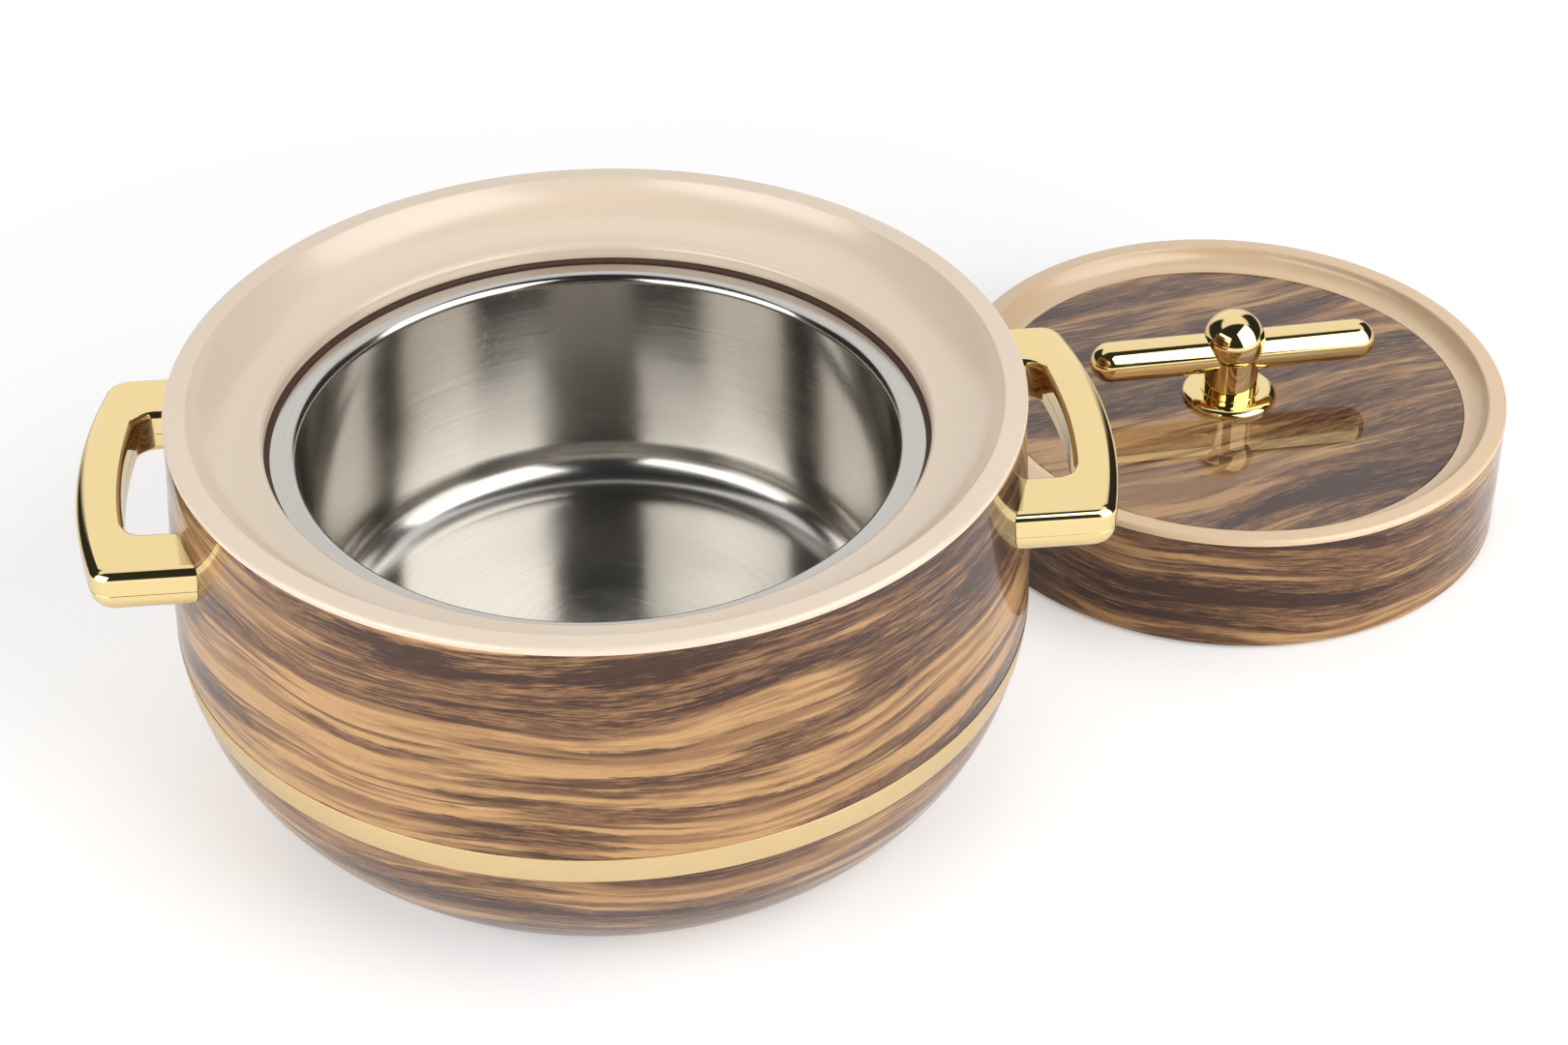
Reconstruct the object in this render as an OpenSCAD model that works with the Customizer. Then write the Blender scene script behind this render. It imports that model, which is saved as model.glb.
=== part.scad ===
// Insulated chapati casserole: a double-walled pot with a steel bowl, and its drum lid lying beside it.
// Origin: the pot's axis on the surface it stands on. +X runs through the right handle, +Z is up.

/* [Pot shell] */
// Radius of the pot at its rim
rim_r = 125; // [115:0.5:137]
// How far the widest ring stands out beyond the rim
belly_swell = 3; // [2.5:0.25:6]
// Height of the widest ring
belly_z = 62; // [58:1:68]
// Height of the pot from the table to the top of the rim
pot_h = 127.4; // [118:0.2:150]
// How far the foot is drawn in from the widest ring
foot_inset = 34; // [30:0.5:38]
// How far round its quarter ellipse the underside runs before it meets the table
under_share = 0.92; // [0.88:0.01:0.95]
// Wall of the printed outer shell
shell_wall = 3; // [2.4:0.1:3.6]

/* [Rim collar] */
// Width of the flat land on top of the rim
land_w = 6.6; // [5:0.2:8]
// Width of the collar from the rim to the round mouth
collar_w = 27.5; // [25:0.5:28.5]
// Depth of the funnel from the rim to the flat shelf beside the mouth
funnel_depth = 12.2; // [9.4:0.2:13.4]
// Wall of the moulded collar
collar_wall = 2.5; // [2:0.1:3]
// Depth of the cream lip that shows above the print, on the pot and on the lid
lip_h = 2.2; // [1.8:0.1:3]
// Rounding of the outer top edges
edge_round = 1.2; // [0.6:0.1:1.6]
// Rounding of the mouth's edge
mouth_round = 2; // [1:0.1:2.5]
// Depth of the skirt that locates the collar inside the shell
skirt_h = 12; // [8:0.5:13]
// Thickness of that skirt
skirt_t = 2; // [1.6:0.1:2.6]

/* [Steel bowl] */
// Width of the steel between the bowl's wall and the mouth
seat_w = 9.5; // [9:0.5:17]
// Depth of the flat seat that the lid rests on, below the collar's shelf
seat_drop = 5.8; // [4.2:0.2:8]
// Height of the bowl's floor above the table
bowl_floor_z = 34; // [24:0.5:44]
// Thickness of the steel
steel_t = 0.9; // [0.6:0.1:1.2]
// Radius of the cove between wall and floor
cove_r = 13; // [8:0.5:18]
// Radius of the shoulder between wall and seat
shoulder_r = 3; // [2.5:0.25:3.5]
// How far the seat runs out beyond the mouth, under the collar
flange_tuck = 3; // [1.5:0.25:4]
// Thickness of the gasket between seat and collar
gasket_t = 0.8; // [0.5:0.1:1.2]

/* [Base] */
// Width of the flat ring that the pot stands on, round the base cover
foot_ring_w = 14; // [10:0.5:20]
// Thickness of the base cover
cover_t = 2.8; // [2.2:0.1:3.6]
// Width of the shell's ledge above the cover's edge
ledge_w = 7; // [6:0.5:9]
// Thickness of that ledge
ledge_t = 2.6; // [2:0.1:3.2]
// Number of screws in the base cover
base_screw_count = 4; // [3:1:6]
// Radius of the plug that closes the filling hole in the base cover
plug_r = 6; // [4:0.5:8]
// Distance of that plug from the axis
plug_offset = 40; // [20:1:55]

/* [Gold band] */
// How far the band's lower edge lies below the widest ring
band_drop = 13.6; // [10:0.2:18]
// Height of the band itself
band_h = 8.7; // [6:0.1:10]
// Thickness of the band
band_t = 0.8; // [0.6:0.1:1.2]
// How far the band stands out of the shell
band_proud = 0.25; // [0.1:0.05:0.4]

/* [Handles] */
// Depth of the handles' flat top below the rim
handle_drop = 21.1; // [19.5:0.2:27]
// Height of the upper half of a handle
upper_half_h = 7.6; // [7:0.1:9]
// Height of the lower half of a handle
lower_half_h = 6.7; // [5.5:0.1:8]
// Half the length of a handle along the pot
handle_half_w = 50; // [46:0.5:52]
// How far the grip's outer face stands out from the rim
grip_standoff = 27; // [24:0.5:27.5]
// Radius of the grip's curved outer face
grip_face_r = 175; // [150:1:200]
// Width of the grip, from its outer face to the finger gap
grip_w = 13.2; // [11:0.2:14]
// Half the length of the finger gap
gap_half_w = 30; // [26:0.5:32]
// Bevel along the top edges
top_bevel = 3; // [1:0.1:3]
// Rounding along the lower edges
under_round = 5; // [3:0.25:5.5]
// Rounding of the handle's upright corners
handle_corner_r = 6.5; // [3:0.5:8]
// Rounding of the finger gap's corners
gap_corner_r = 6; // [3:0.5:8]
// Radius of the pegs that locate the lower half
peg_r = 2; // [1.5:0.1:2.4]
// Length of those pegs
peg_h = 3.5; // [2:0.25:4]

/* [Screws] */
// Thread radius of the handle and base screws
screw_r = 1.5; // [1.25:0.05:1.75]
// Head radius of those screws
screw_head_r = 3; // [2.6:0.1:3.4]
// Head height of those screws
screw_head_h = 2; // [1.6:0.1:2.4]
// Thread length of a handle screw beyond its washer
handle_screw_l = 16; // [13:0.5:19]
// Thread length of a base screw, measured from the cover's underside
base_screw_l = 10; // [8:0.5:12]
// Radius of the washers and of the bosses behind them
washer_r = 4.4; // [3.8:0.1:4.8]
// Thickness of the washers
washer_t = 0.8; // [0.6:0.1:1.2]

/* [Lid] */
// Clearance all round the lid in the collar's mouth
lid_clearance = 5.5; // [4.5:0.25:6.5]
// Height of the lid's drum
lid_h = 42.9; // [38:0.1:50]
// Wall of the lid's printed shell
lid_wall = 2.4; // [2:0.1:3]
// Width of the land on top of the lid
lid_land_w = 6; // [4:0.25:8]
// Width of the cove between the land and the printed disc
lid_cove_w = 7.5; // [6.5:0.25:10]
// Depth of the disc's face below the land
lid_cove_h = 5.9; // [4.9:0.1:7]
// Thickness of the disc
disc_t = 2.4; // [2:0.1:3]
// Width of the ledge under the disc's edge
disc_ledge_w = 6; // [4:0.5:8]
// Height of the silicone seal under the lid
seal_h = 3.2; // [2.5:0.1:4]
// Width of the seal
seal_w = 5; // [4:0.25:6]
// Width of the inward flange that holds seal and liner
lid_flange_w = 6.6; // [6:0.2:8]
// Depth of the step pressed into the steel liner
liner_step = 1.4; // [0.8:0.1:1.8]
// Gap that the lid passes the right handle's corner with as it is lifted
lid_gap = 1.2; // [0.8:0.1:20]
// Direction from that corner to the lid's centre, counted from the handles' line
lid_bearing = 38.9; // [30:0.1:60]

/* [Knob] */
// Radius of the flange under the knob
knob_flange_r = 15.8; // [14:0.2:18]
// Height of that flange
knob_flange_h = 3.2; // [2.4:0.1:4]
// Rounding of the flange's upper edge
knob_flange_round = 2; // [0.5:0.1:2.2]
// Radius of the post
post_r = 9; // [8:0.1:9.4]
// Radius of the ball on top of the post
ball_r = 10.4; // [10:0.1:11.5]
// Height of the ball's centre above the disc
ball_rise = 22; // [20:0.25:26]
// Height of the crossbar's axis above the disc
bar_rise = 17.6; // [15:0.2:19]
// Radius of the crossbar
bar_r = 6.8; // [6:0.1:7.2]
// Length of the crossbar from end to end
bar_l = 98; // [80:1:110]
// Turn of the crossbar about the post
bar_turn = 3.5; // [-90:0.5:90]
// Thread radius of the bolt that holds the post
bolt_r = 2.5; // [2:0.1:3]
// Wall left in the post between the bolt's hole and the crossbar
bolt_cover = 0.6; // [0.4:0.1:2]
// Head radius of the bolt
bolt_head_r = 4.5; // [4:0.1:5]
// Head height of the bolt
bolt_head_h = 3; // [2:0.1:4]
// Radius of the washer that spreads the bolt's load
bolt_washer_r = 9; // [7:0.5:12]
// Thickness of that washer
bolt_washer_t = 1.2; // [0.8:0.1:2]

/* [Fits] */
// Clearance round the moulded foam
foam_gap = 0.3; // [0.2:0.05:0.5]
// Clearance between shells that slide into each other
fit_gap = 0.15; // [0.1:0.05:0.3]
// Clearance of a screw or a peg in its hole
hole_gap = 0.2; // [0.1:0.05:0.3]
// Clearance between a part and the surface it is seated on or passes through
seat_gap = 0.1; // [0.05:0.05:0.2]

/* [Hidden] */
$fn = 96;
cream = [0.89, 0.80, 0.69];
wood = [0.58, 0.42, 0.32];
gold = [0.90, 0.76, 0.42];
steel = [0.72, 0.71, 0.69];
foam = [0.93, 0.90, 0.72];
silicone = [0.24, 0.19, 0.16];
base_plastic = [0.80, 0.72, 0.62];
under_steps = 14;
side_steps = 10;
arc_steps = 8;
// How far a cut runs past the face it opens.
overshoot = 1;
// Long enough to pass through the shell's wall beside a handle.
through_wall = 20;
// Clearance of a thread in its pilot hole, and the hole's depth beyond the screw's tip.
thread_gap = 0.02;
tip_gap = 0.5;
belly_r = rim_r + belly_swell;
foot_r = belly_r - foot_inset;
cover_r = foot_r - foot_ring_w;
mouth_r = rim_r - collar_w;
bowl_r = mouth_r - seat_w;
shelf_z = pot_h - funnel_depth;
seat_z = shelf_z - seat_drop;
band_z = belly_z - band_drop;
handle_top_z = pot_h - handle_drop;
grip_reach = rim_r + grip_standoff;
lid_r = mouth_r - lid_clearance;
disc_r = lid_r - lid_land_w - lid_cove_w;
disc_z = lid_h - lid_cove_h;
// The underside is a quarter ellipse, sized so that it meets the table at foot_r.
under_v = belly_z / under_share;
under_h = (belly_r - foot_r) / (1 - sqrt(1 - pow(under_share, 2)));
// The collar's funnel is one arc that lies flat at the shelf and ends at the land.
funnel_r0 = mouth_r + mouth_round;
funnel_dx = collar_w - mouth_round - land_w;
funnel_rho = (pow(funnel_dx, 2) + pow(funnel_depth, 2)) / (2 * funnel_depth);
funnel_end = asin(min(1, funnel_dx / funnel_rho));
lip_bottom_z = seat_z + gasket_t;
ledge_z = cover_t;
inside_z = ledge_z + ledge_t;
ledge_in_r = cover_r - ledge_w;
boss_inset = 0.25;
first_screw_turn = 45;
plug_lip = 1;
base_screw_ring = cover_r - ledge_w / 2;
base_boss_r = ledge_w / 2 - boss_inset;
foam_top_z = seat_z - shoulder_r;
land_in_r = rim_r - land_w;
wall_in_r = rim_r - shell_wall;
skirt_out_r = wall_in_r - fit_gap;
skirt_in_r = skirt_out_r - skirt_t;
// The collar's underside runs a wall below the funnel, from the lip to the skirt.
collar_under_rho = funnel_rho + collar_wall;
collar_under_start = asin((mouth_r + collar_wall - funnel_r0) / collar_under_rho);
collar_under_end = asin(min(0.9, (skirt_in_r - funnel_r0) / collar_under_rho));
// The lid's cove is an arc too, from the disc's edge up to the land.
cove_rho = (pow(lid_cove_w, 2) + pow(lid_cove_h, 2)) / (2 * lid_cove_h);
cove_end = asin(min(1, lid_cove_w / cove_rho));
lid_in_r = lid_r - lid_wall;
// The lid stands on its seal, so the printed shell ends higher, with room for the seal to give.
foot_gap = 0.9;
// Chamfer of the shell's and the seal's lower edges.
foot_edge = 0.3;
lid_flange_t = 2;
liner_z = seal_h + lid_flange_t;
disc_under_z = disc_z - disc_t;
rim_under_z = disc_under_z - collar_wall;
lid_foam_top_z = rim_under_z - foam_gap;
handle_bottom_z = handle_top_z - upper_half_h - lower_half_h;
parting_z = handle_top_z - upper_half_h;
grip_axis_x = grip_reach - grip_face_r;
arm_mid_y = (handle_half_w + gap_half_w) / 2;
handle_screw_z = parting_z + upper_half_h / 2;
boss_rise = 1.5;
boss_face_x = sqrt(pow(wall_in_r, 2) - pow(arm_mid_y + washer_r, 2)) - boss_rise;
head_pocket_gap = 1;
// Centre of the handle's rounded corner, which the lid passes as it rises.
corner_y = handle_half_w - handle_corner_r;
corner_x = grip_axis_x + sqrt(pow(grip_face_r - handle_corner_r, 2) - pow(corner_y, 2));
lid_x = corner_x + (handle_corner_r + lid_gap + lid_r) * cos(lid_bearing);
lid_y = corner_y + (handle_corner_r + lid_gap + lid_r) * sin(lid_bearing);
peg_x = grip_axis_x + grip_face_r - grip_w / 2;
peg_y = gap_half_w - peg_r;
bolt_washer_z = disc_under_z - bolt_washer_t;
knob_z = disc_z + knob_flange_h;
bar_z = disc_z + bar_rise;
bolt_grip = bar_z - bar_r - bolt_cover - knob_z;
ball_z = disc_z + ball_rise;

// Points of an arc about (cr, cz), from one angle to another.
function arc(cr, cz, radius, from, to, steps = arc_steps) =
    [for (i = [0 : steps]) let (a = from + (to - from) * i / steps)
        [cr + radius * cos(a), cz + radius * sin(a)]];

// Outer radius of the shell at a height, or of a surface lying inset inside it.
function under_radius(z, inset) = belly_r - under_h
    + (under_h - inset) * sqrt(max(0, 1 - pow((belly_z - z) / (under_v - inset), 2)));
function side_radius(z) = let (t = min(1, (z - belly_z) / (pot_h - belly_z)))
    belly_r - (belly_r - rim_r) * (3 * t * t - 2 * t * t * t);
function pot_radius(z, inset = 0) = z < belly_z ? under_radius(z, inset) : side_radius(z) - inset;

// Points up the shell's profile between two heights.
function pot_profile(z0, z1, inset = 0) = concat(
    [for (i = [0 : under_steps - 1]) let (z = z0 + (belly_z - z0) * (1 - cos(90 * i / under_steps)))
        [pot_radius(z, inset), z]],
    [for (i = [0 : side_steps]) let (z = belly_z + (z1 - belly_z) * i / side_steps)
        [pot_radius(z, inset), z]]);

function reversed(points) = [for (i = [len(points) - 1 : -1 : 0]) points[i]];

module turned(points) {
    rotate_extrude($fn = 180) polygon(points);
}

module pot_solid(grow = 0) {
    turned(concat([[0, 0]], pot_profile(0, pot_h, -grow), [[0, pot_h]]));
}

module at_base_screws() {
    for (i = [0 : base_screw_count - 1])
        rotate([0, 0, first_screw_turn + 360 * i / base_screw_count])
            translate([base_screw_ring, 0, 0]) children();
}

module at_handle_screws(side) {
    for (y = [-arm_mid_y, arm_mid_y])
        rotate([0, 0, side > 0 ? 0 : 180]) translate([boss_face_x, y, handle_screw_z])
            rotate([0, 90, 0]) children();
}

// ---- Pot ----

module shell_bosses() {
    at_base_screws() translate([0, 0, ledge_z]) cylinder(h = base_screw_l, r = base_boss_r, $fn = 48);
    for (side = [1, -1]) at_handle_screws(side) cylinder(h = through_wall, r = washer_r, $fn = 48);
}

module band_groove() {
    turned([
        [pot_radius(band_z) + band_proud - band_t, band_z],
        [belly_r + overshoot, band_z],
        [belly_r + overshoot, band_z + band_h],
        [pot_radius(band_z + band_h) + band_proud - band_t, band_z + band_h]]);
}

module outer_shell() {
    top_z = pot_h - lip_h;
    color(wood) difference() {
        turned(concat([[0, 0]], pot_profile(0, top_z), [[0, top_z]]));
        difference() {
            turned(concat([[0, inside_z]], pot_profile(inside_z, top_z + overshoot, shell_wall),
                [[0, top_z + overshoot]]));
            shell_bosses();
        }
        translate([0, 0, -overshoot]) cylinder(h = ledge_z + overshoot, r = cover_r + fit_gap, $fn = 180);
        cylinder(h = inside_z, r = ledge_in_r, $fn = 180);
        band_groove();
        at_base_screws() cylinder(h = base_screw_l + tip_gap, r = screw_r, $fn = 48);
        for (side = [1, -1]) at_handle_screws(side) translate([0, 0, -overshoot])
            cylinder(h = through_wall + overshoot, r = screw_r + hole_gap, $fn = 48);
    }
}

module rim_collar() {
    seat_under_z = pot_h - lip_h;
    funnel_z = shelf_z + funnel_rho;
    color(cream) turned(concat(
        [[rim_r, seat_under_z]],
        arc(rim_r - edge_round, pot_h - edge_round, edge_round, 0, 90, 4),
        reversed(arc(funnel_r0, funnel_z, funnel_rho, -90, -90 + funnel_end)),
        arc(funnel_r0, shelf_z - mouth_round, mouth_round, 90, 180, 5),
        [[mouth_r, lip_bottom_z], [mouth_r + collar_wall, lip_bottom_z]],
        arc(funnel_r0, funnel_z, collar_under_rho, -90 + collar_under_start, -90 + collar_under_end),
        [[skirt_in_r, funnel_z - collar_under_rho * cos(collar_under_end)]],
        [[skirt_in_r, pot_h - skirt_h], [skirt_out_r, pot_h - skirt_h], [skirt_out_r, seat_under_z]]));
}

module inner_bowl() {
    flange_r = mouth_r + flange_tuck;
    flat_r = bowl_r - cove_r;
    shoulder_c = bowl_r + shoulder_r;
    color(steel) turned(concat(
        [[0, bowl_floor_z]],
        arc(flat_r, bowl_floor_z + cove_r, cove_r, -90, 0),
        arc(shoulder_c, seat_z - shoulder_r, shoulder_r, 180, 90),
        [[flange_r, seat_z], [flange_r, seat_z - steel_t]],
        arc(shoulder_c, seat_z - shoulder_r, shoulder_r - steel_t, 90, 180),
        arc(flat_r, bowl_floor_z + cove_r, cove_r + steel_t, 0, -90),
        [[0, bowl_floor_z - steel_t]]));
}

module bowl_gasket() {
    color(silicone) turned([
        [mouth_r + hole_gap, seat_z],
        [mouth_r + collar_wall, seat_z],
        [mouth_r + collar_wall, lip_bottom_z],
        [mouth_r + hole_gap, lip_bottom_z]]);
}

module body_foam() {
    bowl_out_r = bowl_r + steel_t + foam_gap;
    flat_r = bowl_r - cove_r;
    under_z = inside_z + foam_gap;
    color(foam) difference() {
        turned(concat(
            [[0, under_z]],
            pot_profile(under_z, foam_top_z, shell_wall + foam_gap),
            [[bowl_out_r, foam_top_z]],
            arc(flat_r, bowl_floor_z + cove_r, cove_r + steel_t + foam_gap, 0, -90),
            [[0, bowl_floor_z - steel_t - foam_gap]]));
        at_base_screws()
            cylinder(h = ledge_z + base_screw_l + foam_gap, r = base_boss_r + foam_gap, $fn = 48);
        for (side = [1, -1]) at_handle_screws(side)
            translate([0, 0, -washer_t - screw_head_h - head_pocket_gap])
                cylinder(h = through_wall, r = washer_r + foam_gap, $fn = 48);
    }
}

module base_cover() {
    color(base_plastic) difference() {
        cylinder(h = cover_t, r = cover_r, $fn = 180);
        at_base_screws() {
            translate([0, 0, -overshoot])
                cylinder(h = cover_t + 2 * overshoot, r = screw_r + hole_gap, $fn = 48);
            translate([0, 0, -overshoot])
                cylinder(h = screw_head_h + overshoot, r = screw_head_r + hole_gap, $fn = 48);
        }
        translate([plug_offset, 0, -overshoot]) cylinder(h = cover_t + 2 * overshoot, r = plug_r, $fn = 48);
    }
}

module base_screws() {
    color(steel) at_base_screws() {
        translate([0, 0, hole_gap]) cylinder(h = screw_head_h - hole_gap, r = screw_head_r, $fn = 48);
        cylinder(h = base_screw_l, r = screw_r - thread_gap, $fn = 48);
    }
}

module fill_plug() {
    color(silicone) translate([plug_offset, 0, 0]) {
        cylinder(h = cover_t, r = plug_r - fit_gap, $fn = 48);
        translate([0, 0, cover_t]) cylinder(h = plug_lip, r = plug_r + plug_lip, $fn = 48);
    }
}

module gold_band() {
    lower_r = pot_radius(band_z) + band_proud;
    upper_r = pot_radius(band_z + band_h) + band_proud;
    mid_z = band_z + band_h / 2;
    color(gold) turned([
        [lower_r - band_t + seat_gap, band_z],
        [lower_r, band_z],
        [pot_radius(mid_z) + band_proud, mid_z],
        [upper_r, band_z + band_h],
        [upper_r - band_t + seat_gap, band_z + band_h]]);
}

// ---- Handles ----

// A block with one curved face, square sides and rounded outer corners, seen from above.
module arc_block(face_r, half_w, corner_r) {
    centre_y = half_w - corner_r;
    centre_x = sqrt(pow(face_r - corner_r, 2) - pow(centre_y, 2));
    reach = face_r / (face_r - corner_r);
    difference() {
        intersection() {
            circle(r = face_r, $fn = 180);
            translate([0, -half_w]) square([face_r, 2 * half_w]);
        }
        for (side = [1, -1]) scale([1, side]) difference() {
            polygon([
                [centre_x, centre_y],
                [centre_x * reach, centre_y * reach],
                [face_r, half_w + overshoot],
                [centre_x, half_w + overshoot]]);
            translate([centre_x, centre_y]) circle(r = corner_r, $fn = 96);
        }
    }
}

// One edge of the loop's section, from the underside up: rounded below, bevelled above.
function grip_edge(half, height) = concat(
    arc(half - under_round, under_round, under_round, -90, 0, 6),
    [[half, height - top_bevel], [half - top_bevel, height]]);

// The whole D-shaped loop, with its bevelled top and rounded underside, before it is parted.
module handle_loop() {
    height = handle_top_z - handle_bottom_z;
    difference() {
        translate([grip_axis_x, 0, handle_bottom_z]) intersection() {
            linear_extrude(height) arc_block(grip_face_r, handle_half_w, handle_corner_r);
            turned(concat([[0, 0]], grip_edge(grip_face_r, height), [[0, height]]));
            rotate([90, 0, 90]) linear_extrude(grip_face_r + overshoot)
                polygon(concat(grip_edge(handle_half_w, height),
                    [for (p = reversed(grip_edge(handle_half_w, height))) [-p[0], p[1]]]));
        }
        translate([grip_axis_x, 0, handle_bottom_z - overshoot]) linear_extrude(height + 2 * overshoot)
            arc_block(grip_face_r - grip_w, gap_half_w, gap_corner_r);
        pot_solid(seat_gap);
    }
}

module handle_half(side, upper) {
    span = 4 * grip_reach;
    rotate([0, 0, side > 0 ? 0 : 180]) difference() {
        union() {
            intersection() {
                handle_loop();
                translate([0, -span / 2, upper ? parting_z : parting_z - span]) cube(span);
            }
            if (!upper) for (y = [-peg_y, peg_y]) translate([peg_x, y, parting_z - overshoot])
                cylinder(h = peg_h + overshoot, r = peg_r, $fn = 48);
        }
        if (upper) for (y = [-peg_y, peg_y]) translate([peg_x, y, parting_z - overshoot])
            cylinder(h = peg_h + hole_gap + overshoot, r = peg_r + hole_gap, $fn = 48);
        if (upper) for (y = [-arm_mid_y, arm_mid_y]) translate([boss_face_x, y, handle_screw_z])
            rotate([0, 90, 0]) cylinder(h = handle_screw_l + tip_gap, r = screw_r, $fn = 48);
    }
}

module handle_screws(side) {
    color(steel) at_handle_screws(side) {
        translate([0, 0, -washer_t - screw_head_h]) {
            cylinder(h = screw_head_h, r = screw_head_r, $fn = 48);
            cylinder(h = screw_head_h + washer_t + handle_screw_l, r = screw_r - thread_gap, $fn = 48);
        }
    }
}

module handle_washers(side) {
    color(steel) at_handle_screws(side) translate([0, 0, -washer_t]) difference() {
        cylinder(h = washer_t, r = washer_r - hole_gap, $fn = 48);
        translate([0, 0, -overshoot])
            cylinder(h = washer_t + 2 * overshoot, r = screw_r + hole_gap, $fn = 48);
    }
}

// ---- Lid ----

module at_lid() {
    translate([lid_x, lid_y, 0]) children();
}

module lid_shell() {
    top_z = lid_h - lip_h;
    seal_out_r = lid_in_r;
    color(wood) at_lid() turned([
        [seal_out_r, foot_gap],
        [lid_r - foot_edge, foot_gap],
        [lid_r, foot_gap + 2 * foot_edge],
        [lid_r, top_z],
        [lid_in_r, top_z],
        [lid_in_r, liner_z],
        [lid_in_r - lid_flange_w, liner_z],
        [lid_in_r - lid_flange_w, seal_h],
        [seal_out_r, seal_h]]);
}

module lid_rim() {
    skirt_r = lid_in_r - fit_gap;
    ledge_r = disc_r - disc_ledge_w;
    color(cream) at_lid() turned(concat(
        [[lid_r, lid_h - lip_h]],
        arc(lid_r - edge_round, lid_h - edge_round, edge_round, 0, 90, 4),
        reversed(arc(disc_r, disc_z + cove_rho, cove_rho, -90, -90 + cove_end)),
        [[disc_r, disc_under_z], [ledge_r, disc_under_z], [ledge_r, rim_under_z]],
        [[disc_r + collar_wall, rim_under_z], [skirt_r, disc_z], [skirt_r, lid_h - lip_h]]));
}

module lid_disc() {
    color(wood) at_lid() difference() {
        translate([0, 0, disc_under_z]) cylinder(h = disc_t, r = disc_r - fit_gap, $fn = 180);
        translate([0, 0, disc_under_z - overshoot])
            cylinder(h = disc_t + 2 * overshoot, r = bolt_r + hole_gap, $fn = 48);
    }
}

module lid_foam() {
    pocket_r = bolt_washer_r + foam_gap;
    pocket_z = bolt_washer_z - bolt_head_h - foam_gap;
    foot_z = liner_z + steel_t + foam_gap;
    color(foam) at_lid() difference() {
        union() {
            translate([0, 0, foot_z])
                cylinder(h = lid_foam_top_z - foot_z, r = lid_in_r - foam_gap, $fn = 180);
            translate([0, 0, foot_z]) cylinder(h = disc_under_z - foam_gap - foot_z,
                r = disc_r - disc_ledge_w - foam_gap, $fn = 180);
        }
        translate([0, 0, pocket_z]) cylinder(h = disc_under_z, r = pocket_r, $fn = 96);
    }
}

module lid_liner() {
    flat_r = lid_in_r - fit_gap;
    step_r = lid_in_r - lid_flange_w - 2 * fit_gap;
    slope_r = step_r - 2 * liner_step;
    color(steel) at_lid() turned([
        [0, liner_z - liner_step],
        [slope_r, liner_z - liner_step],
        [step_r, liner_z],
        [flat_r, liner_z],
        [flat_r, liner_z + steel_t],
        [step_r, liner_z + steel_t],
        [slope_r, liner_z - liner_step + steel_t],
        [0, liner_z - liner_step + steel_t]]);
}

module lid_seal() {
    out_r = lid_in_r - fit_gap;
    color(silicone) at_lid() turned([
        [out_r - seal_w, foot_edge],
        [out_r - seal_w + foot_edge, 0],
        [out_r - foot_edge, 0],
        [out_r, foot_edge],
        [out_r, seal_h],
        [out_r - seal_w, seal_h]]);
}

module knob_flange() {
    color(gold) at_lid() turned(concat(
        [[bolt_r + hole_gap, disc_z], [knob_flange_r, disc_z]],
        arc(knob_flange_r - knob_flange_round, knob_z - knob_flange_round, knob_flange_round, 0, 90),
        [[bolt_r + hole_gap, knob_z]]));
}

module knob_post() {
    color(gold) at_lid() difference() {
        union() {
            translate([0, 0, knob_z]) cylinder(h = ball_z - knob_z, r = post_r, $fn = 96);
            translate([0, 0, ball_z]) sphere(r = ball_r, $fn = 96);
        }
        translate([0, 0, bar_z]) rotate([0, 90, bar_turn])
            cylinder(h = bar_l, r = bar_r + seat_gap / 2, center = true, $fn = 96);
        translate([0, 0, knob_z - overshoot]) cylinder(h = bolt_grip + overshoot, r = bolt_r, $fn = 48);
    }
}

module knob_bar() {
    half = bar_l / 2 - bar_r;
    color(gold) at_lid() translate([0, 0, bar_z]) rotate([0, 0, bar_turn]) {
        rotate([0, 90, 0]) cylinder(h = 2 * half, r = bar_r, center = true, $fn = 96);
        for (x = [-half, half]) translate([x, 0, 0]) sphere(r = bar_r, $fn = 96);
    }
}

module knob_bolt() {
    shank_top = knob_z + bolt_grip - tip_gap;
    color(steel) at_lid() {
        translate([0, 0, bolt_washer_z - bolt_head_h]) {
            cylinder(h = bolt_head_h, r = bolt_head_r, $fn = 48);
            cylinder(h = bolt_head_h + shank_top - bolt_washer_z, r = bolt_r - thread_gap, $fn = 48);
        }
    }
}

module knob_washer() {
    color(steel) at_lid() translate([0, 0, bolt_washer_z]) difference() {
        cylinder(h = bolt_washer_t, r = bolt_washer_r, $fn = 96);
        translate([0, 0, -overshoot])
            cylinder(h = bolt_washer_t + 2 * overshoot, r = bolt_r + hole_gap, $fn = 48);
    }
}

outer_shell();
rim_collar();
inner_bowl();
bowl_gasket();
body_foam();
base_cover();
base_screws();
fill_plug();
gold_band();
color(gold) handle_half(1, true);  // handle_upper_right
color(gold) handle_half(1, false);  // handle_lower_right
color(gold) handle_half(-1, true);  // handle_upper_left
color(gold) handle_half(-1, false);  // handle_lower_left
handle_screws(1);  // handle_screws_right
handle_screws(-1);  // handle_screws_left
handle_washers(1);  // handle_washers_right
handle_washers(-1);  // handle_washers_left
lid_shell();
lid_rim();
lid_disc();
lid_foam();
lid_liner();
lid_seal();
knob_flange();
knob_post();
knob_bar();
knob_bolt();
knob_washer();
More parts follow.
